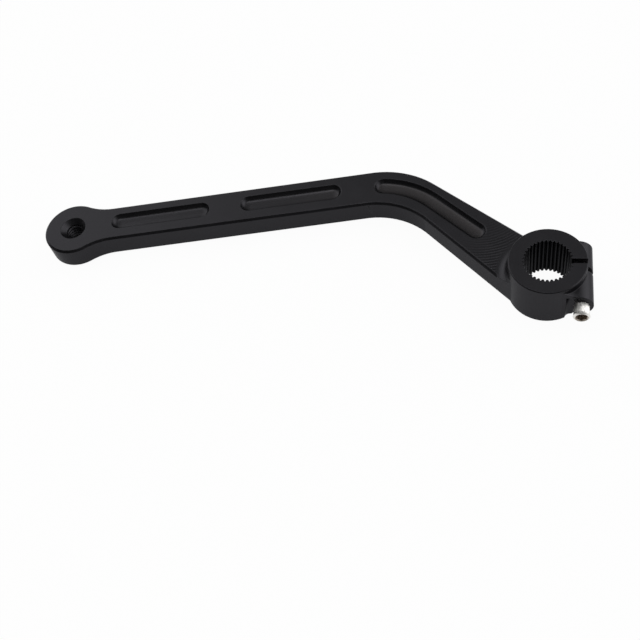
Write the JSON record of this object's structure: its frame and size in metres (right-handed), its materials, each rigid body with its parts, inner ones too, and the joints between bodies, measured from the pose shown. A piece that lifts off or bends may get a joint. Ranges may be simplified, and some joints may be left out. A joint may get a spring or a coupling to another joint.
{
  "type": "gear shift lever",
  "caption": "Bent flat gear shift lever with a tapped round peg end, ball-milled pockets along the arm and a serrated split clamp hub closed by a pinch bolt.",
  "frame": {"origin": "middle of the serrated bore at the hub's flat back face", "axes": "+Z along the bore, from the flat back towards the decorated face; the middle of the peg hole lies on -X"},
  "size_m": [0.2114, 0.057, 0.0178],
  "materials": {
    "lever": "black anodised, satin, with fine milling marks",
    "bolt": "bright plain steel"
  },
  "bodies": {
    "root": {"lever_body": "lever", "pinch_bolt": "bolt"}
  },
  "joints": []
}
